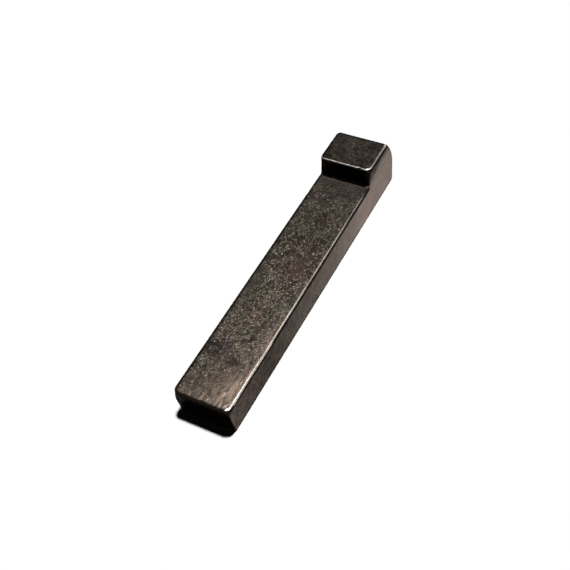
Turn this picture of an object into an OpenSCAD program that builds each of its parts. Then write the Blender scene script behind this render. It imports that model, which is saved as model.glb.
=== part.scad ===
// Gib head taper key: one piece of steel, a bar whose top face slopes along its length, with a raised
// head at the thick end that is used to drive the key in and to draw it out.
//
// Origin: on the flat bottom face, halfway across the width, under the front face of the head.
// +X runs along the bar to its thin end, +Y across the width, +Z up from the bottom face.

/* [Bar] */
// Width of the bar and of the head, which is the width of the keyway
bar_w = 12; // [8:0.5:18]
// Length of the bar from the front face of the head to the thin end
bar_l = 63; // [30:1:120]
// Height of the bar halfway along its length
bar_h = 8; // [6:0.1:9.5]
// Length of the bar over which its height grows by 1
taper_run = 100; // [60:5:200]
// Length of the bevel under the thin end, which leads the key into its keyway
lead_l = 1.1; // [0.5:0.1:3]
// Height of the upright strip that is left above that bevel
nose_h = 1; // [0.9:0.1:4]

/* [Head] */
// Length of the head along the bar
head_l = 13; // [9:0.5:20]
// Height of the head above the bottom face
head_h = 12.8; // [11.5:0.1:18]
// Radius of the rounded back of the head
back_r = 10; // [8.5:0.5:16]
// Height of the rounded back, measured down from the top of the head
back_rise = 7.6; // [5:0.1:9]

/* [Edges] */
// Rounding of the outer edges
edge_r = 0.4; // [0.2:0.05:0.8]
// Fillet between the bar and the front face of the head
foot_r = 0.2; // [0.1:0.05:1.5]
// Width of the flat that breaks the edge between the top of the head and its rounded back
crest_w = 0.5; // [0.2:0.05:0.8]

/* [Hidden] */
$fn = 96;

// How far the cutters reach past the surfaces that they cut
spare = 0.3;

// Slope of the top face, and the bar's height at its two ends
taper = atan(1 / taper_run);
thin_h = bar_h - bar_l / taper_run / 2;
thick_h = bar_h + bar_l / taper_run / 2;

// Side outline of the key, in X and Z, counterclockwise. A round is [centre, radius, first angle, sweep],
// and a hollow round has a negative sweep. A run is [end point, direction, length], a straight stretch.
function ray(angle) = [cos(angle), sin(angle)];
function centre(round) = round[0];
function radius(round) = round[1];
function first_angle(round) = round[2];
function sweep(round) = round[3];
function start_point(round) = centre(round) + radius(round) * ray(first_angle(round));
function end_point(round) = centre(round) + radius(round) * ray(first_angle(round) + sweep(round));
function run_between(a, b) =
    let (step = start_point(b) - end_point(a))
    [start_point(b), atan2(step.y, step.x), norm(step)];
function lengthened(run, extra) = [run[0], run[1], run[2] + extra];

// Where the straight lines that touch a round at its two ends cross
function corner(round) =
    centre(round) + radius(round) / cos(sweep(round) / 2) * ray(first_angle(round) + sweep(round) / 2);

thin_bottom = [[bar_l - edge_r, edge_r], edge_r, 270, 90];
thin_top_z = thin_h + edge_r * tan(taper) - edge_r / cos(taper);
thin_top = [[bar_l - edge_r, thin_top_z], edge_r, 0, 90 - taper];
foot_z = thick_h - foot_r * tan(taper) + foot_r / cos(taper);
foot = [[foot_r, foot_z], foot_r, 270 - taper, taper - 90];
brow = [[-edge_r, head_h - edge_r], edge_r, 0, 90];
back_bottom = [[edge_r - head_l, edge_r], edge_r, 180, 90];

// The two ends of the bevel under the thin end
lead_bottom = [bar_l - lead_l, 0];
lead_top = [bar_l, thin_h - nose_h];

// The rounded back leaves the back face smoothly and meets the top of the head at an edge, the crest
back_turn = asin(back_rise / back_r);
back = [[back_r - head_l, head_h - back_rise], back_r, 180 - back_turn, back_turn];
back_corner = [-head_l, head_h];
crest = start_point(back);
crest_tilt = (90 - back_turn) / 2;
crest_depth = crest_w / 2 * tan(crest_tilt);

// Some stretches run past the end of their surface while a side edge is rounded, where only air lies beyond
lap_angle = 5;
foot_lapped = [centre(foot), foot_r, 270 + lap_angle, -90 - lap_angle];
back_first = floor(first_angle(back)) - lap_angle;
back_lapped = [centre(back), back_r, back_first, 180 - back_first];
head_top = [[crest.x - spare, head_h], 180, end_point(brow).x - crest.x + spare];

// Every stretch of the outline, in the order in which its two side edges are rounded
STRETCHES = [
    thin_bottom,
    run_between(thin_bottom, thin_top),
    lengthened(run_between(thin_top, foot), spare),
    thin_top,
    foot_lapped,
    run_between(foot, brow),
    brow,
    head_top,
    back_lapped,
    run_between(back, back_bottom),
    back_bottom,
    run_between(back_bottom, thin_bottom)
];

// What lies between a round and its corner
module corner_sliver(round, tip) {
    difference() {
        polygon([start_point(round), tip, end_point(round), centre(round)]);
        translate(centre(round)) circle(radius(round));
    }
}

// The key seen from the side
module side_outline() {
    difference() {
        polygon([
            corner(thin_bottom),
            corner(thin_top),
            start_point(foot),
            end_point(foot),
            corner(brow),
            back_corner,
            corner(back_bottom)
        ]);
        translate(centre(foot)) circle(foot_r);
        for (round = [thin_bottom, thin_top, brow, back_bottom]) corner_sliver(round, corner(round));
        corner_sliver(back, back_corner);
    }
}

// Section of what a rounded side edge loses: x points out of the outline, y points across the key. The
// reach is how far past the outline it goes.
module edge_section(reach) {
    translate([-edge_r, bar_w / 2 - edge_r]) difference() {
        square([edge_r + reach, edge_r + spare]);
        circle(edge_r);
    }
}

// Cutter for the side edge along a straight stretch
module run_cutter(run) {
    translate(run[0]) rotate(run[1]) translate([-run[2], 0, 0]) rotate([90, 0, 90])
        linear_extrude(run[2]) mirror([1, 0]) edge_section(spare);
}

// Cutter for the side edge around a round stretch, which in a hollow stops short of the centre
module round_cutter(round) {
    hollow = sweep(round) < 0;
    reach = hollow ? min(spare, radius(round) / 2) : spare;
    translate(centre(round))
        rotate_extrude(angle = abs(sweep(round)), start = first_angle(round) + min(0, sweep(round)))
            translate([radius(round), 0]) mirror([hollow ? 1 : 0, 0]) edge_section(reach);
}

module stretch_cutter(stretch) {
    if (len(stretch) == 3) run_cutter(stretch);
    else round_cutter(stretch);
}

// The extruded outline with both side edges rounded along its first stretches, one stretch at a time
module eased_outline(count) {
    if (count == 0) linear_extrude(bar_w, center = true) side_outline();
    else difference() {
        eased_outline(count - 1);
        stretch_cutter(STRETCHES[count - 1]);
        mirror([0, 0, 1]) stretch_cutter(STRETCHES[count - 1]);
    }
}

// Takes a narrow flat off the crest of the head, right across the key
module crest_cutter() {
    translate([crest.x, crest.y, -bar_w / 2 - spare]) rotate(crest_tilt)
        translate([-crest_w, -crest_depth, 0]) cube([2 * crest_w, 2 * crest_w, bar_w + 2 * spare]);
}

// Takes the bevel off the lower part of the thin end, right across the key and with sharp borders
module lead_cutter() {
    past = spare * (lead_top - lead_bottom) / norm(lead_top - lead_bottom);
    low = lead_bottom - past;
    high = lead_top + past;
    linear_extrude(bar_w + 2 * spare, center = true) polygon([low, [high.x, low.y], high]);
}

module gib_head_key() {
    color("#4a4540") rotate([90, 0, 0]) difference() {
        eased_outline(len(STRETCHES));
        crest_cutter();
        lead_cutter();
    }
}

gib_head_key();
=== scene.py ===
import math
import random

import bmesh
import bpy
import numpy as np
from mathutils import Matrix, Vector

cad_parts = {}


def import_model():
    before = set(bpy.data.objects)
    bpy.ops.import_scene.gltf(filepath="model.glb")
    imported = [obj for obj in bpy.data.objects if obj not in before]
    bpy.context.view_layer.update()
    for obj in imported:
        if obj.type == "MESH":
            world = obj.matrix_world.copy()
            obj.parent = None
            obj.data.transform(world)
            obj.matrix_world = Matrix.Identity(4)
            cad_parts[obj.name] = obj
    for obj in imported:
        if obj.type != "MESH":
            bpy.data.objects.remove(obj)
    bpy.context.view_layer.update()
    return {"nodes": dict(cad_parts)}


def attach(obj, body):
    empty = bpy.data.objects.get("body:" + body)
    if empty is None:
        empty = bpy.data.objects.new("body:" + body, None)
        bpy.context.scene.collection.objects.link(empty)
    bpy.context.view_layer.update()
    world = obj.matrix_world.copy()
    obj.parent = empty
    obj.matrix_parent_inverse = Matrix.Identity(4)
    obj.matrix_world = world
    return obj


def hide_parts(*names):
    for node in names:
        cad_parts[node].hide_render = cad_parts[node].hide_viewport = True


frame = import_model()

# Lengths are in millimetres in the part's own frame, and become metres where Blender takes them. Left and
# right are as the photograph's camera sees the key, so +Y is right. Limits are a pair: where something
# starts to show, and where it shows in full. A profile is a row of pairs: a place along X, and its value.
MM = 0.001
NODE = "gib_head_key"
PIECE = "worn_gib_head_key"
BODY = "root"
SLOT = "dark_steel"
SEED = 12

# Sizes of the key, the same as in its source: the bar and the head, the rounding of the edges, the radius
# and the centre of the rounded back, the crest above it, and the bevel under the thin end
HALF_W = 6.0
BAR_L = 63.0
THICK_H = 8.315
TAPER = 0.01
HEAD_H = 12.8
EDGE_R = 0.4
BACK_R = 10.0
BACK_X = -3.0
BACK_Z = 5.2
CREST_X = -9.5
LEAD_L = 1.1
LEAD_TOP = 6.685


def fade(limits, value):
    """0 before the first limit, 1 past the second, and a smooth change between them."""
    first, last = limits
    t = np.clip((value - first) / (last - first), 0, 1)
    return t * t * (3 - 2 * t)


def at(profile, x):
    places, values = zip(*profile)
    return np.interp(x, places, values)


def bar_top(x):
    return THICK_H - TAPER * x


# Mesh

# The dense mesh: its spacing, the gap in metres within which vertices are joined, and how it is evened out
GRID = 0.2
WELD_GAP = 1e-7
EVEN_SHARE = 0.5
EVEN_ROUNDS = 3

# Rounding of the upright corners in plan, near the top faces, and how far down it fades out at the thin end
# and on the head
CORNER_R = 1.25
REAR_CORNER_R = 0.9
THIN_FADE = 3.4
HEAD_FADE = 7.0

# The rubbed top edge: limits along the bar and below its top, where it starts across the bar, and its depth
RUB_ALONG = (40, 62)
RUB_BELOW = (2.0, 0.6)
RUB_START = 4.7
RUB_DEPTH = 0.06

# Where the edges that were knocked lie: how far inside the sharp edge the middle of a rounding is, in radii,
# how far inside it the brow's and the crest's dents are, and between which ends the edges were knocked
ROUND_INSET = 0.3
BROW_INSET = 0.25
CREST_DROP = 0.1
KNOCKED_ACROSS = (-5, 5)
KNOCKED_TOP = (1, 62)
KNOCKED_BOTTOM = (-12, 61)
KNOCKED_HEAD = (-9, -1)

# Knocks per mm of an edge, and the range of a dent's width and depth
END_KNOCKS = 0.15
CREST_KNOCKS = 0.12
TOP_KNOCKS = 0.09
BOTTOM_KNOCKS = 0.06
DENT_WIDTHS = (0.35, 0.9)
DENT_DEPTHS = (0.01, 0.05)

# The one deeper nick, in the front top edge of the head
BROW_NICK = (-0.12, 3.46, HEAD_H - 0.12)
BROW_NICK_WIDTH = 0.45
BROW_NICK_DEPTH = 0.1


def welded(mesh):
    """Joins the doubled vertices of a mesh, so that its surface is closed."""
    work = bmesh.new()
    work.from_mesh(mesh)
    bmesh.ops.remove_doubles(work, verts=work.verts, dist=WELD_GAP)
    work.to_mesh(mesh)
    work.free()
    return mesh


def dense_copy(cad):
    """A copy of the CAD surface in small even faces, which can carry worn corners and nicks."""
    piece = bpy.data.objects.new(PIECE, welded(cad.data.copy()))
    bpy.context.scene.collection.objects.link(piece)
    remesh = piece.modifiers.new("remesh", "REMESH")
    remesh.mode = "VOXEL"
    remesh.voxel_size = GRID * MM
    piece.modifiers.new("onto_cad", "SHRINKWRAP").target = cad
    smooth = piece.modifiers.new("even", "SMOOTH")
    smooth.factor = EVEN_SHARE
    smooth.iterations = EVEN_ROUNDS
    evaluated = piece.evaluated_get(bpy.context.evaluated_depsgraph_get())
    dense = bpy.data.meshes.new_from_object(evaluated)
    piece.modifiers.clear()
    piece.data = dense
    dense.name = PIECE
    return piece


def read_points(mesh):
    flat = np.empty(len(mesh.vertices) * 3)
    mesh.vertices.foreach_get("co", flat)
    return flat.reshape(-1, 3) / MM


def write_points(mesh, points):
    mesh.vertices.foreach_set("co", (points * MM).ravel())
    mesh.update()


def read_normals(mesh):
    flat = np.empty(len(mesh.vertices) * 3)
    mesh.vertex_normals.foreach_get("vector", flat)
    return flat.reshape(-1, 3)


def outline_reach(turn, radius):
    """How far the CAD's corner lies from the centre of the wider round, in the direction turn."""
    across, along = np.cos(turn), np.sin(turn)
    inset = radius - EDGE_R
    middle = inset * (across + along)
    on_round = middle + np.sqrt(np.maximum(middle ** 2 - 2 * inset ** 2 + EDGE_R ** 2, 0))
    before = radius * along <= inset * across
    after = radius * across <= inset * along
    straight = radius / np.maximum(across, along)
    return np.where(before | after, straight, on_round)


def widen_corners(points, depth, outward, radius, weight):
    """Rounds the two upright corners at one end; depth is how far in from that end a point lies."""
    along = radius - depth
    across = np.abs(points[:, 1]) - (HALF_W - radius)
    zone = (along > 0) & (across > 0) & (weight > 0)
    along, across = along[zone], across[zone]
    loss = weight[zone] * (1 - radius / outline_reach(np.arctan2(across, along), radius))
    points[zone, 0] -= outward * along * loss
    points[zone, 1] -= np.sign(points[zone, 1]) * across * loss


def back_border(z):
    """Where the back of the head lies: upright below, and rounded above."""
    rise = np.maximum(z - BACK_Z, 0)
    return BACK_X - np.sqrt(BACK_R ** 2 - rise ** 2)


def thin_border(z):
    """Where the thin end lies: upright near the top, and with a bevel below."""
    return BAR_L - LEAD_L * np.clip(1 - z / LEAD_TOP, 0, 1)


def round_corners(points):
    x, z = points[:, 0].copy(), points[:, 2].copy()
    thin_top = bar_top(BAR_L)
    by_bar_top = fade((thin_top - THIN_FADE, thin_top), z)
    by_head_top = fade((HEAD_H - HEAD_FADE, HEAD_H), z)
    widen_corners(points, thin_border(z) - x, 1, CORNER_R, by_bar_top)
    widen_corners(points, -x, 1, CORNER_R, by_head_top)
    widen_corners(points, x - back_border(z), -1, REAR_CORNER_R, by_head_top)


def wear_round(points):
    """Takes down the top edge that was rubbed most, towards the thin end."""
    x, y, z = points.T
    along = fade(RUB_ALONG, x)
    across = np.clip((y - RUB_START) / (HALF_W - EDGE_R - RUB_START), 0, 1) ** 2
    below = fade(RUB_BELOW, bar_top(BAR_L) - z)
    points[:, 2] -= RUB_DEPTH * along * across * below


def edge_lines():
    """The key's longer edges as two end points each, with how often they were knocked, per mm."""
    inset = ROUND_INSET * EDGE_R
    side = HALF_W - inset
    thin_end = [(BAR_L - inset, y, bar_top(BAR_L) - inset) for y in KNOCKED_ACROSS]
    brow = [(-BROW_INSET, y, HEAD_H - BROW_INSET) for y in KNOCKED_ACROSS]
    crest = [(CREST_X, y, HEAD_H - CREST_DROP) for y in KNOCKED_ACROSS]
    lines = [(*thin_end, END_KNOCKS), (*brow, END_KNOCKS), (*crest, CREST_KNOCKS)]
    for y in (-side, side):
        top = [(x, y, bar_top(x) - inset) for x in KNOCKED_TOP]
        bottom = [(x, y, inset) for x in KNOCKED_BOTTOM]
        head = [(x, y, HEAD_H - inset) for x in KNOCKED_HEAD]
        lines += [(*top, TOP_KNOCKS), (*bottom, BOTTOM_KNOCKS), (*head, END_KNOCKS)]
    return lines


def dent(points, normals, place, width, depth):
    """Presses a shallow hollow into the surface around a place."""
    gap = ((points - np.array(place)) ** 2).sum(axis=1) / width ** 2
    near = gap < 1
    points[near] -= normals[near] * (depth * (1 - gap[near]) ** 2)[:, None]


def nick_edges(points, normals):
    draw = random.Random(SEED)
    for start, end, often in edge_lines():
        start, end = Vector(start), Vector(end)
        for _ in range(round((end - start).length * often)):
            place = start.lerp(end, draw.random())
            dent(points, normals, place, draw.uniform(*DENT_WIDTHS), draw.uniform(*DENT_DEPTHS))
    dent(points, normals, BROW_NICK, BROW_NICK_WIDTH, BROW_NICK_DEPTH)


# Layers: numbers on the vertices that tell the material where the coat is light, grained, rubbed or dirty,
# and where light, shade and highlights are painted

# Marks on the top faces: along, across, length, width, strength
SMUDGES = [
    (51.2, -3.8, 2.4, 2.2, 0.9),
    (50.0, -5.8, 2.0, 1.2, 0.6),
    (52.8, 1.2, 1.6, 1.7, 0.85),
    (51.8, -1.2, 1.6, 1.8, 0.45),
    (2.4, 2.6, 1.3, 1.4, 0.45),
    (-3.7, -1.2, 0.9, 0.9, 0.6),
    (-2.6, 3.1, 0.8, 0.8, 0.5),
    (-7.6, 2.6, 1.2, 1.0, 0.4),
]
SMOOTH_SPOTS = [
    (25.5, 2.0, 3.2, 1.1, 0.9),
    (35.0, -4.7, 2.6, 0.9, 1.0),
    (30.0, -4.9, 1.6, 0.8, 0.7),
    (1.2, 0.0, 0.8, 6.0, 0.6),
]
RUBBED_SPOTS = [
    (61.0, 3.8, 3.4, 2.0, 0.9),
    (56.5, 4.8, 4.0, 1.1, 0.7),
    (62.2, -0.8, 1.1, 5.6, 0.75),
    (58.0, 0.0, 4.0, 5.0, 0.22),
    (45.0, 5.0, 8.0, 1.6, 0.3),
]
RUST_SPOTS = [
    (5.5, -4.7, 2.6, 0.8, 0.8),
    (25.0, 2.2, 2.6, 0.9, 0.5),
    (58.5, 0.5, 2.0, 1.5, 0.4),
]

# Limits of one part of the normal, past which a face looks up, ahead or back
LOOKS_UP = (0.5, 0.9)
LOOKS_AHEAD = (0.2, 0.6)
LOOKS_BACK = (0.35, 0.8)

# Limits of the bar along X, and of the head along X and Z
ON_BAR_X = (-0.2, 0.2)
ON_HEAD_X = (0.2, -0.4)
ON_HEAD_Z = (9, 10)

# How light the coat is on the sides, where 1 is its colour as written: painted light, mostly lighter towards
# the head.
# The side of the head gets painted shade towards its top edge, from a height and by a share that change
# along X.
SIDE_PAINTED_LIGHT = ((-13, 4.5), (5, 4.45), (18, 2.7), (32, 1.9), (48, 1.0), (63, 1.6))
SHADE_FROM = ((-6, 9.4), (-0.5, 7.6))
SHADE_RISE = 2.6
SHADE_SHARE = ((-13, 0.25), (-8, 0.64), (0, 0.7))

# How light it is on the top faces, with painted light and shade: darker from the thin end towards the head,
# then lighter again at the foot of the head, where painted light lifts the head's shadow. The head's own top
# is darker, painted shade.
# Near the right edge the foot of the head is no lighter than a limit, and painted shade makes the left
# darker near the thin end and along the edge.
TOP_PAINTED_LIGHT_AND_SHADE = (
    (0.5, 2.8), (0.7, 2.3), (0.95, 1.7), (1.5, 1.4), (2.5, 1.0), (4, 0.78),
    (18, 0.52), (35, 0.82), (63, 1.06),
)
HEAD_TOP_PAINTED_SHADE = ((-9, 0.62), (-2, 0.46))
FOOT_LIMIT = 1.1
FOOT_LIMIT_Y = (4.0, 5.2)
LEFT_SHADE = 0.32
LEFT_SHADE_X = (45, 58)
LEFT_SHADE_Y = (1, -4)
RIM_SHADE = 0.2
RIM_SHADE_Y = (-4.6, -5.4)

# How light it is on the faces that look ahead or back. Painted shade makes the head's front and the thin end
# nearly black, and painted reflection makes the thin end lighter above its bevel and on the left.
HEAD_FRONT_PAINTED_SHADE = 0.07
BACK_TONE = 0.6
END_PAINTED_SHADE = 0.11
NOSE_PAINTED_REFLECTION = 0.1
NOSE_Z = (5.7, 6.3)
END_LEFT_PAINTED_REFLECTION = 0.12
END_LEFT_Y = (-3.0, -5.5)
END_LEFT_Z = (3.0, 6.0)

# Bright edges, partly wear and partly painted highlight: the least of it on any top edge, the right top
# edge, and the brow of the head
LEAST_RUB = 0.15
RIGHT_RUB_AND_HIGHLIGHT = ((-0.6, 1), (0.2, 0), (1.5, 0.1), (4, 0.55), (30, 1))
RIGHT_HIGHLIGHT_ASIDE = (0.0, 0.3)
BROW_HIGHLIGHT_AHEAD = (0.1, 0.3)
BROW_HIGHLIGHT_X = (2, 0)

# Where a surface bulges enough to be worn and painted bright, how far it has to look up, and by how much
# less towards the thin end
WORN_BULGE = (0.1, 0.45)
WORN_UP = (0.6, 0.8)
WORN_LOWER = 0.25
WORN_LOWER_FROM = (35, 56)
WORN_LOWER_TO = (62.2, 60.5)

# Painted shade: dark lines on the top edges that aren't worn
PAINTED_LINE_LOSS = 1.5
PAINTED_LINE_UP = (0.05, 0.3)

# Painted shade as dark lines on the sides: under the rounding of the top edges, wider on the head, and along
# the bottom
HEAD_LINE = 0.5
BAR_LINE = 0.3
LINE_FADE = 0.3
LINE_ASIDE = (0.3, 0.8)
BOTTOM_SHARE = 0.75
BOTTOM_Z = (0.7, 0.2)
BOTTOM_ASIDE = (0.1, 0.4)

# Painted shade as dark lines on top: beside the left edge, and on the rounding of the thin end
LEFT_LINE_SHARE = 0.9
LEFT_LINE = (EDGE_R + 0.5, EDGE_R + 0.1)
LEFT_LINE_UP = (0.7, 0.9)
END_LINE_AHEAD = (0.4, 0.65)
END_LINE_UP = (0.05, 0.3)

# How strong the speckled grain is, and how much of it is lost on the faces that look ahead and in the marks
SIDE_GRAIN = 0.2
HEAD_TOP_GRAIN = 0.26
TOP_GRAIN = ((0, 0.42), (5, 0.62), (28, 1.0), (50, 1.0), (60, 0.77))
AHEAD_LOSS = 0.9
SMOOTH_LOSS = 0.85
SMUDGE_LOSS = 0.6
RUBBED_LOSS = 0.4


def roundness(mesh, points, normals):
    """How strongly the surface bulges at each vertex, in 1/mm."""
    ends = np.empty(len(mesh.edges) * 2, dtype=np.int32)
    mesh.edges.foreach_get("vertices", ends)
    a, b = ends.reshape(-1, 2).T
    step = points[b] - points[a]
    bend = ((normals[b] - normals[a]) * step).sum(axis=1) / (step ** 2).sum(axis=1)
    count = np.bincount(a, minlength=len(points)) + np.bincount(b, minlength=len(points))
    total = np.bincount(a, bend, len(points)) + np.bincount(b, bend, len(points))
    return total / count


def add_layer(mesh, name, values):
    layer = mesh.attributes.new(name, "FLOAT", "POINT")
    layer.data.foreach_set("value", np.ascontiguousarray(values, dtype=np.float32))


def spots(points, marks):
    total = np.zeros(len(points))
    for along, across, length, width, strength in marks:
        gap = ((points[:, 0] - along) / length) ** 2 + ((points[:, 1] - across) / width) ** 2
        total += strength * np.exp(-gap)
    return np.clip(total, 0, 1)


# Painted light on the sides, and painted shade towards the top edge of the head's side
def side_painted_light(points):
    x, _, z = points.T
    shade = at(SHADE_SHARE, x) * fade((0, SHADE_RISE), z - at(SHADE_FROM, x))
    return at(SIDE_PAINTED_LIGHT, x) * (1 - shade)


# Painted light and shade on the top faces
def top_tone_and_painted_light(points):
    x, y, z = points.T
    tone = at(TOP_PAINTED_LIGHT_AND_SHADE, x)
    tone -= np.maximum(tone - FOOT_LIMIT, 0) * fade(FOOT_LIMIT_Y, y)
    tone += (at(HEAD_TOP_PAINTED_SHADE, x) - tone) * fade(ON_HEAD_X, x) * fade(ON_HEAD_Z, z)
    tone *= 1 - LEFT_SHADE * fade(LEFT_SHADE_X, x) * fade(LEFT_SHADE_Y, y)
    return tone * (1 - RIM_SHADE * fade(RIM_SHADE_Y, y))


# Painted shade on the faces that look ahead, and painted reflection on the thin end
def painted_shade_ahead(points):
    x, y, z = points.T
    thin_end = END_PAINTED_SHADE + NOSE_PAINTED_REFLECTION * fade(NOSE_Z, z)
    thin_end += END_LEFT_PAINTED_REFLECTION * fade(END_LEFT_Y, y) * fade(END_LEFT_Z, z)
    return np.where(x > BAR_L / 2, thin_end, HEAD_FRONT_PAINTED_SHADE)


def tone_with_painted_light(points, normals):
    """How light the coat is, with painted light and shade by the way each face looks: from the tones of the
    sides, the tops and the faces ahead and back.
    """
    up = fade(LOOKS_UP, normals[:, 2])
    tone = side_painted_light(points) * (1 - up) + top_tone_and_painted_light(points) * up
    tone += (painted_shade_ahead(points) - tone) * fade(LOOKS_AHEAD, normals[:, 0])
    return tone + (BACK_TONE - tone) * fade(LOOKS_BACK, -normals[:, 0])


def rubbed_and_highlit_edges(points, normals):
    """Where the edges are rubbed bright, with painted highlights: the top edges on the right and the brow of
    the head.
    """
    x = points[:, 0]
    right = fade(RIGHT_HIGHLIGHT_ASIDE, normals[:, 1]) * at(RIGHT_RUB_AND_HIGHLIGHT, x)
    brow = fade(BROW_HIGHLIGHT_AHEAD, normals[:, 0]) * fade(BROW_HIGHLIGHT_X, x)
    return LEAST_RUB + (1 - LEAST_RUB) * np.maximum(right, brow)


def painted_shade_lines(points, normals):
    """Painted shade: the thin dark lines along the edges, on the sides and on top."""
    x, y, z = points.T
    aside = np.abs(normals[:, 1])
    on_head = x < 0
    below = np.where(on_head, HEAD_H, bar_top(x)) - z
    reach = EDGE_R + np.where(on_head, HEAD_LINE, BAR_LINE)
    under = fade((reach + LINE_FADE, reach), below) * fade(LINE_ASIDE, aside)
    bottom = BOTTOM_SHARE * fade(BOTTOM_Z, z) * fade(BOTTOM_ASIDE, aside)
    left = LEFT_LINE_SHARE * fade(LEFT_LINE, HALF_W + y) * fade(LEFT_LINE_UP, normals[:, 2])
    end = fade(END_LINE_AHEAD, normals[:, 0]) * fade(END_LINE_UP, normals[:, 2]) * (x > BAR_L / 2)
    return np.max((under, bottom, left, end), axis=0)


def add_edges(mesh, points, normals):
    """The layers of the edges: worn bright with painted highlights, or painted shade lines."""
    x, up = points[:, 0], normals[:, 2]
    bulge = fade(WORN_BULGE, roundness(mesh, points, normals))
    lower = WORN_LOWER * fade(WORN_LOWER_FROM, x) * fade(WORN_LOWER_TO, x)
    first_up, full_up = WORN_UP
    worn_and_highlit = bulge * fade((first_up - lower, full_up - lower), up) * rubbed_and_highlit_edges(points, normals)
    from_nick = np.linalg.norm(points - np.array(BROW_NICK), axis=1)
    worn_and_highlit *= 1 - fade((BROW_NICK_WIDTH, BROW_NICK_WIDTH / 3), from_nick)
    painted_shade_line = np.clip(bulge - PAINTED_LINE_LOSS * worn_and_highlit, 0, 1) * fade(PAINTED_LINE_UP, up)
    add_layer(mesh, "worn_and_highlit", worn_and_highlit)
    add_layer(mesh, "painted_shade_line", np.maximum(painted_shade_line, painted_shade_lines(points, normals)))


def add_marks(mesh, points, normals):
    """The layers of the faces: tone with its painted light and shade, grain and marks."""
    x = points[:, 0]
    up = fade(LOOKS_UP, normals[:, 2])
    bar = up * fade(ON_BAR_X, x)
    smooth = spots(points, SMOOTH_SPOTS) * bar
    smudge = spots(points, SMUDGES) * up
    rubbed = spots(points, RUBBED_SPOTS) * bar
    grain = SIDE_GRAIN + up * (HEAD_TOP_GRAIN - SIDE_GRAIN + (at(TOP_GRAIN, x) - HEAD_TOP_GRAIN) * bar)
    grain *= 1 - AHEAD_LOSS * fade(LOOKS_AHEAD, normals[:, 0])
    grain *= (1 - SMOOTH_LOSS * smooth) * (1 - SMUDGE_LOSS * smudge) * (1 - RUBBED_LOSS * rubbed)
    add_layer(mesh, "mottle", up * fade(ON_HEAD_X, x))
    add_layer(mesh, "tone", tone_with_painted_light(points, normals))
    add_layer(mesh, "grain", grain)
    add_layer(mesh, "smudge", smudge)
    add_layer(mesh, "rubbed", rubbed)
    add_layer(mesh, "rust", spots(points, RUST_SPOTS) * bar)


def worn_key():
    piece = dense_copy(frame["nodes"][NODE])
    mesh = piece.data
    points = read_points(mesh)
    round_corners(points)
    wear_round(points)
    write_points(mesh, points)
    nick_edges(points, read_normals(mesh))
    write_points(mesh, points)
    mesh.shade_smooth()
    normals = read_normals(mesh)
    add_edges(mesh, points, normals)
    add_marks(mesh, points, normals)
    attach(piece, BODY)
    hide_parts(NODE)
    return piece


# Materials

# Colours of the oxide coat, of its specks, of what lies on it or shows through it, and of the painted shade
# and highlights
OLIVE = (0.063, 0.060, 0.040, 1)
BROWN = (0.086, 0.060, 0.046, 1)
PLUM = (0.070, 0.053, 0.053, 1)
SLATE = (0.061, 0.056, 0.048, 1)
FLECK = (0.235, 0.2, 0.162, 1)
PIT = (0.015, 0.012, 0.009, 1)
SPARK = (0.42, 0.37, 0.315, 1)
RUBBED = (0.3, 0.22, 0.167, 1)
RUST = (0.12, 0.058, 0.026, 1)
# Soot for the smudges, also used for the painted shade lines
SOOT_AND_PAINTED_SHADE = (0.013, 0.011, 0.009, 1)
# Bare steel, also the colour of the painted highlights on the edges
BARE_AND_HIGHLIGHT = (0.76, 0.69, 0.62, 1)

# How much of what lies under them they cover at most
SIDE_SHARE = 0.8
SMUDGE_SHARE = 0.85
FLECK_SHARE = 0.6
PIT_SHARE = 0.75
SPARK_SHARE = 0.8
STREAK_SHARE = 0.6
RUST_SHARE = 0.5
PAINTED_LINE_SHARE = 0.97

# Noises: repeats per mm, detail and distortion, and for some of them how they are stretched along X, Y and
# Z, where less than 1 makes them longer
PATCH = (0.16, 3, 0.4)
TINT = (0.7, 2, 0.8)
PLUM_PATCH = (0.9, 2, 0.6)
SIDE_PATCH = (0.4, 3, 0.7)
BLOTCH = (0.55, 3, 0.5)
GRAIN = (1.7, 3, 1.2)
SPECK = (2.4, 1, 0.5)
FINE = (4.5, 2, 0)
MOTTLE = (0.5, 4, 0.8)
STAIN = (0.8, 5, 0.7)
STAIN_STRETCH = (1.2, 1, 1)
GROUND = (1.0, 3, 0)
GROUND_STRETCH = (0.08, 3.2, 3.2)
BRUSHED = (1.0, 3, 0.3)
BRUSHED_STRETCH = (0.35, 1.2, 1.2)
STREAK = (1.0, 2, 0.2)
STREAK_STRETCH = (0.4, 2.8, 2.8)

# Limits of the noises and layers between which something comes to show
WIDE = (0.3, 0.7)
MOTTLE_LIMITS = (0.35, 0.65)
STAIN_LIMITS = (0.38, 0.62)
NARROW = (0.4, 0.6)
PLUM_LIMITS = (0.52, 0.66)
FLECK_LIMITS = (0.5, 0.68)
PIT_LIMITS = (0.5, 0.34)
SPARK_LIMITS = (0.63, 0.72)
STREAK_LIMITS = (0.62, 0.74)
STREAK_RUB = (0.35, 0.9)
RUST_LIMITS = (0.35, 0.6)
SMUDGE_LIMITS = (0.1, 0.95)
EDGE_LIMITS = (0.3, 0.8)

# How much plum the sides' slate takes on, and how much brushed steel shows where the coat is rubbed
SIDE_PLUM = (0.3, 0.7)
BRUSHED_SHARE = (0.1, 0.9)

# By how much the noises change the tone either way, and how much stronger stains are on a dark coat than on
# a light one
BLOTCH_SWING = 0.25
STAIN_SWING = 0.2
MOTTLE_SWING = 0.4
FINE_SWING = 0.08
GROUND_SWING = 0.1
STAIN_TONES = (1.1, 4.2)
STAIN_GAIN = (1.6, 0.45)

# How much a noise breaks up the flecks, the smudges and the bright edges
FLECK_BREAK = 0.22
SMUDGE_BREAK = 0.9
EDGE_BREAK = 0.25

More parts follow.
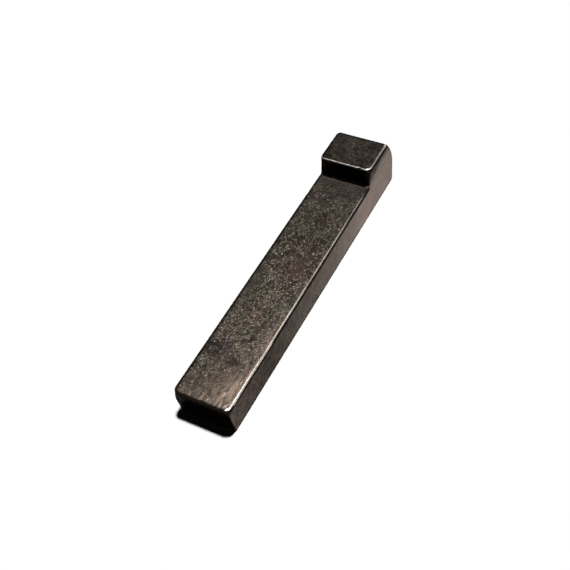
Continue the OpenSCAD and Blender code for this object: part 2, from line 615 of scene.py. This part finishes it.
# Gloss and bump, and the tint that keeps glancing reflections of the dark coat from turning white
ROUGHNESS = (0.33, 0.45)
EDGE_ROUGHER = -0.06
SMUDGE_ROUGHER = 0.1
BUMP_GRAIN = 0.7
BUMP_FINE = 0.3
BUMP_DEPTH = 0.08
GLANCING_TINT = (0.4, 0.4, 0.4, 1)


class Graph:
    """The nodes of one material, with a call for each kind of node that it uses."""

    def __init__(self, name):
        self.material = bpy.data.materials.new(name)
        self.material.use_nodes = True
        self.nodes = self.material.node_tree.nodes
        self.links = self.material.node_tree.links
        self.shader = self.nodes["Principled BSDF"]
        self.place = self.nodes.new("ShaderNodeTexCoord").outputs["Object"]

    def put(self, socket, value):
        if isinstance(value, bpy.types.NodeSocket):
            self.links.new(value, socket)
        else:
            socket.default_value = value

    def layer(self, name):
        node = self.nodes.new("ShaderNodeAttribute")
        node.attribute_name = name
        return node.outputs["Fac"]

    def stretched(self, stretch):
        node = self.nodes.new("ShaderNodeMapping")
        node.inputs["Scale"].default_value = stretch
        self.links.new(self.place, node.inputs["Vector"])
        return node.outputs["Vector"]

    def noise(self, kind, stretch=None):
        per_mm, detail, distortion = kind
        node = self.nodes.new("ShaderNodeTexNoise")
        self.links.new(self.stretched(stretch) if stretch else self.place, node.inputs["Vector"])
        node.inputs["Scale"].default_value = per_mm / MM
        node.inputs["Detail"].default_value = detail
        node.inputs["Distortion"].default_value = distortion
        return node.outputs["Fac"]

    def math(self, operation, first, second):
        node = self.nodes.new("ShaderNodeMath")
        node.operation = operation
        self.put(node.inputs[0], first)
        self.put(node.inputs[1], second)
        return node.outputs[0]

    def add(self, first, second):
        return self.math("ADD", first, second)

    def times(self, first, second):
        return self.math("MULTIPLY", first, second)

    def rest(self, share):
        """What a share leaves of the whole."""
        return self.math("SUBTRACT", 1.0, share)

    def mean(self, first, second):
        return self.add(self.times(first, 0.5), self.times(second, 0.5))

    def broken(self, value, noise, share):
        """A value that a noise raises and lowers, by up to half the share either way."""
        return self.add(value, self.times(self.add(noise, -0.5), share))

    def ramp(self, value, limits, ends=(0.0, 1.0)):
        node = self.nodes.new("ShaderNodeMapRange")
        node.interpolation_type = "SMOOTHSTEP"
        self.put(node.inputs["Value"], value)
        node.inputs["From Min"].default_value = limits[0]
        node.inputs["From Max"].default_value = limits[1]
        node.inputs["To Min"].default_value = ends[0]
        node.inputs["To Max"].default_value = ends[1]
        return node.outputs["Result"]

    def swing(self, value, limits, reach):
        return self.ramp(value, limits, (-reach, reach))

    def mix(self, share, first, second, blend="MIX"):
        node = self.nodes.new("ShaderNodeMix")
        node.data_type = "RGBA"
        node.blend_type = blend
        self.put(node.inputs["Factor"], share)
        colours = [socket for socket in node.inputs if socket.type == "RGBA"]
        self.put(colours[0], first)
        self.put(colours[1], second)
        return [socket for socket in node.outputs if socket.type == "RGBA"][0]

    def grey(self, value):
        node = self.nodes.new("ShaderNodeCombineColor")
        for socket in node.inputs:
            self.put(socket, value)
        return node.outputs[0]

    def bump(self, height, depth):
        node = self.nodes.new("ShaderNodeBump")
        node.inputs["Distance"].default_value = depth * MM
        self.links.new(height, node.inputs["Height"])
        return node.outputs["Normal"]


def coat_colour(g, plain):
    """Olive, brown and plum patches where the coat is grained, and a quieter mix where it is plain."""
    tint = g.mean(g.noise(PATCH), g.noise(TINT))
    grained = g.mix(g.ramp(tint, NARROW), OLIVE, BROWN)
    grained = g.mix(g.ramp(g.noise(PLUM_PATCH), PLUM_LIMITS), grained, PLUM)
    quiet = g.mix(g.ramp(g.noise(SIDE_PATCH), NARROW, SIDE_PLUM), SLATE, PLUM)
    return g.mix(g.times(plain, SIDE_SHARE), grained, quiet)


def coat_light(g, grain, plain, blotch, fine):
    """The tone layer with its painted light and shade, changed by blotches where the coat is grained and by
    stains where it is plain.
    """
    layer = g.layer("tone")
    tone = g.times(layer, g.add(1.0, g.times(grain, g.swing(blotch, WIDE, BLOTCH_SWING))))
    stain = g.swing(g.noise(STAIN, STAIN_STRETCH), STAIN_LIMITS, STAIN_SWING)
    stain = g.times(stain, g.ramp(layer, STAIN_TONES, STAIN_GAIN))
    mottle = g.swing(g.noise(MOTTLE), MOTTLE_LIMITS, MOTTLE_SWING)
    stain = g.add(stain, g.times(g.layer("mottle"), mottle))
    stain = g.add(stain, g.swing(fine, WIDE, FINE_SWING))
    ground = g.swing(g.noise(GROUND, GROUND_STRETCH), WIDE, GROUND_SWING)
    return g.times(tone, g.add(1.0, g.times(plain, g.add(stain, ground))))


def speckled(g, coat, grain, flecks):
    """Light flecks, dark pits and small sparks, as strong as the grain."""
    light = g.times(grain, g.ramp(flecks, FLECK_LIMITS))
    coat = g.mix(g.times(light, FLECK_SHARE), coat, FLECK)
    dark = g.times(grain, g.ramp(flecks, PIT_LIMITS))
    coat = g.mix(g.times(dark, PIT_SHARE), coat, PIT)
    sparks = g.times(grain, g.ramp(g.noise(SPECK), SPARK_LIMITS))
    return g.mix(g.times(sparks, SPARK_SHARE), coat, SPARK)


def rubbed_thin(g, coat):
    """Brushed steel where the coat is rubbed thin, with bare streaks where it is rubbed most."""
    layer = g.layer("rubbed")
    brushed = g.ramp(g.noise(BRUSHED, BRUSHED_STRETCH), STAIN_LIMITS, BRUSHED_SHARE)
    coat = g.mix(g.times(layer, brushed), coat, RUBBED)
    streaks = g.ramp(g.noise(STREAK, STREAK_STRETCH), STREAK_LIMITS, (0, STREAK_SHARE))
    return g.mix(g.times(g.ramp(layer, STREAK_RUB), streaks), coat, BARE_AND_HIGHLIGHT)


def metal(piece):
    g = Graph(SLOT)
    grain = g.layer("grain")
    plain = g.rest(grain)
    blotch = g.noise(BLOTCH)
    coarse = g.noise(GRAIN)
    fine = g.noise(FINE)
    flecks = g.broken(coarse, blotch, FLECK_BREAK)
    smudge = g.ramp(g.broken(g.layer("smudge"), flecks, SMUDGE_BREAK), SMUDGE_LIMITS)
    rust = g.times(g.layer("rust"), g.ramp(blotch, RUST_LIMITS))
    edge = g.ramp(g.broken(g.layer("worn_and_highlit"), blotch, EDGE_BREAK), EDGE_LIMITS)

    tone = coat_light(g, grain, plain, blotch, fine)
    coat = g.mix(1.0, coat_colour(g, plain), g.grey(tone), "MULTIPLY")
    coat = g.mix(g.times(smudge, SMUDGE_SHARE), coat, SOOT_AND_PAINTED_SHADE)
    coat = speckled(g, coat, grain, flecks)
    coat = rubbed_thin(g, coat)
    coat = g.mix(g.times(rust, RUST_SHARE), coat, RUST)
    # Painted shade: dark lines along the edges
    coat = g.mix(g.times(g.layer("painted_shade_line"), PAINTED_LINE_SHARE), coat, SOOT_AND_PAINTED_SHADE)
    # Bare steel where worn, and painted highlights on the right top edges and the brow
    coat = g.mix(edge, coat, BARE_AND_HIGHLIGHT)

    rough = g.add(g.ramp(fine, WIDE, ROUGHNESS), g.times(edge, EDGE_ROUGHER))
    rough = g.add(rough, g.times(smudge, SMUDGE_ROUGHER))
    height = g.add(g.times(coarse, BUMP_GRAIN), g.times(fine, BUMP_FINE))
    height = g.times(height, g.times(grain, g.rest(edge)))
    g.put(g.shader.inputs["Base Color"], coat)
    g.put(g.shader.inputs["Roughness"], rough)
    g.put(g.shader.inputs["Normal"], g.bump(height, BUMP_DEPTH))
    g.shader.inputs["Metallic"].default_value = 1
    g.shader.inputs["Specular Tint"].default_value = GLANCING_TINT
    piece.data.materials.clear()
    piece.data.materials.append(g.material)


# Stage, with lengths in metres and angles in degrees

# The photograph's camera
CAMERA_PLACE = Vector((130.808, 63.917, 141.01)) * MM
CAMERA_RIGHT = Vector((-0.45411, 0.88746, -0.07877))
CAMERA_LOOK = Vector((-0.55752, -0.35201, -0.75184))
CAMERA_LENS = 56.147
CAMERA_CLIP = (0.001, 100)
SENSOR = 36.0

# Floor and wall of the backdrop, and where the lit floor passes into plain white
INNER_RINGS = (0.1, 0.5)
FLOOR_R = 2.0
WALL_R = 1.8
WALL_TURN = 88
WALL_STEPS = 16
RING_STEPS = 64
FLOOR_COLOUR = (0.9, 0.9, 0.9, 1)
WHITE_FROM = (0.25, 0.8)

# The sun, by how far it leans behind the head and to the right, which casts the shadow
SUN_BACK = 8.3
SUN_RIGHT = 4.2
SUN_WIDTH = 4.8
SUN_STRENGTH = 3.56

# The soft lamp that the top faces reflect
FILL_PLACE = Vector((-0.6, -0.2, 1.0))
FILL_TARGET = Vector((0.03, 0, 0))
FILL_SIZE = (0.8, 1.2)
FILL_POWER = 2

WORLD_COLOUR = (1, 1, 1, 1)
WORLD_STRENGTH = 0.002


def camera():
    data = bpy.data.cameras.new("camera")
    data.lens = CAMERA_LENS
    data.sensor_width = SENSOR
    data.clip_start, data.clip_end = CAMERA_CLIP
    made = bpy.data.objects.new("camera", data)
    look = CAMERA_LOOK.normalized()
    right = (CAMERA_RIGHT - look * CAMERA_RIGHT.dot(look)).normalized()
    up = right.cross(look)
    axes = Matrix((right, up, -look)).transposed()
    made.matrix_world = Matrix.Translation(CAMERA_PLACE) @ axes.to_4x4()
    bpy.context.scene.collection.objects.link(made)
    bpy.context.scene.camera = made


def backdrop_rings():
    """Radius and height of the rings of the backdrop: a floor that curves up into a wall."""
    rings = [(radius, 0.0) for radius in (*INNER_RINGS, FLOOR_R)]
    for step in range(1, WALL_STEPS + 1):
        turn = math.radians(WALL_TURN) * step / WALL_STEPS
        rings.append((FLOOR_R + WALL_R * math.sin(turn), WALL_R * (1 - math.cos(turn))))
    return rings


def backdrop_mesh():
    work = bmesh.new()
    middle = work.verts.new((0, 0, 0))
    turns = [2 * math.pi * step / RING_STEPS for step in range(RING_STEPS)]
    last = None
    for radius, height in backdrop_rings():
        ring = [work.verts.new((radius * math.cos(t), radius * math.sin(t), height)) for t in turns]
        for i in range(RING_STEPS):
            j = (i + 1) % RING_STEPS
            work.faces.new((last[i], ring[i], ring[j], last[j]) if last else (middle, ring[i], ring[j]))
        last = ring
    mesh = bpy.data.meshes.new("floor")
    work.to_mesh(mesh)
    work.free()
    mesh.shade_smooth()
    return mesh


def backdrop_material():
    """A lit floor that keeps the shadow, and plain white further out, which reflections show too."""
    g = Graph("floor")
    g.shader.inputs["Base Color"].default_value = FLOOR_COLOUR
    g.shader.inputs["Roughness"].default_value = 1
    g.shader.inputs["Specular IOR Level"].default_value = 0
    path = g.nodes.new("ShaderNodeLightPath").outputs
    seen = g.math("MAXIMUM", path["Is Camera Ray"], path["Is Glossy Ray"])
    seen = g.math("MAXIMUM", seen, path["Is Transmission Ray"])
    reach = g.nodes.new("ShaderNodeVectorMath")
    reach.operation = "LENGTH"
    g.links.new(g.place, reach.inputs[0])
    far = g.ramp(reach.outputs["Value"], WHITE_FROM)
    white = g.nodes.new("ShaderNodeEmission")
    mix = g.nodes.new("ShaderNodeMixShader")
    g.links.new(seen, white.inputs["Strength"])
    g.links.new(far, mix.inputs[0])
    g.links.new(g.shader.outputs[0], mix.inputs[1])
    g.links.new(white.outputs[0], mix.inputs[2])
    g.links.new(mix.outputs[0], g.nodes["Material Output"].inputs["Surface"])
    return g.material


def backdrop():
    made = bpy.data.objects.new("floor", backdrop_mesh())
    bpy.context.scene.collection.objects.link(made)
    made.data.materials.append(backdrop_material())


def sun():
    data = bpy.data.lights.new("sun", "SUN")
    data.angle = math.radians(SUN_WIDTH)
    data.energy = SUN_STRENGTH
    made = bpy.data.objects.new("sun", data)
    back = math.tan(math.radians(SUN_BACK))
    right = math.tan(math.radians(SUN_RIGHT))
    made.rotation_mode = "QUATERNION"
    made.rotation_quaternion = Vector((-back, right, 1)).to_track_quat("Z", "Y")
    bpy.context.scene.collection.objects.link(made)


def fill():
    """A lamp for the steel alone: it isn't seen by the floor, so the shadow stays dark."""
    data = bpy.data.lights.new("fill", "AREA")
    data.shape = "RECTANGLE"
    data.size, data.size_y = FILL_SIZE
    data.energy = FILL_POWER
    made = bpy.data.objects.new("fill", data)
    made.location = FILL_PLACE
    made.rotation_mode = "QUATERNION"
    made.rotation_quaternion = (FILL_TARGET - FILL_PLACE).to_track_quat("-Z", "Y")
    made.visible_diffuse = False
    bpy.context.scene.collection.objects.link(made)


def world():
    made = bpy.data.worlds.new("world")
    bpy.context.scene.world = made
    made.use_nodes = True
    background = made.node_tree.nodes["Background"]
    background.inputs["Color"].default_value = WORLD_COLOUR
    background.inputs["Strength"].default_value = WORLD_STRENGTH


bpy.context.scene.view_settings.view_transform = "Standard"
camera()
backdrop()
sun()
fill()
world()
metal(worn_key())
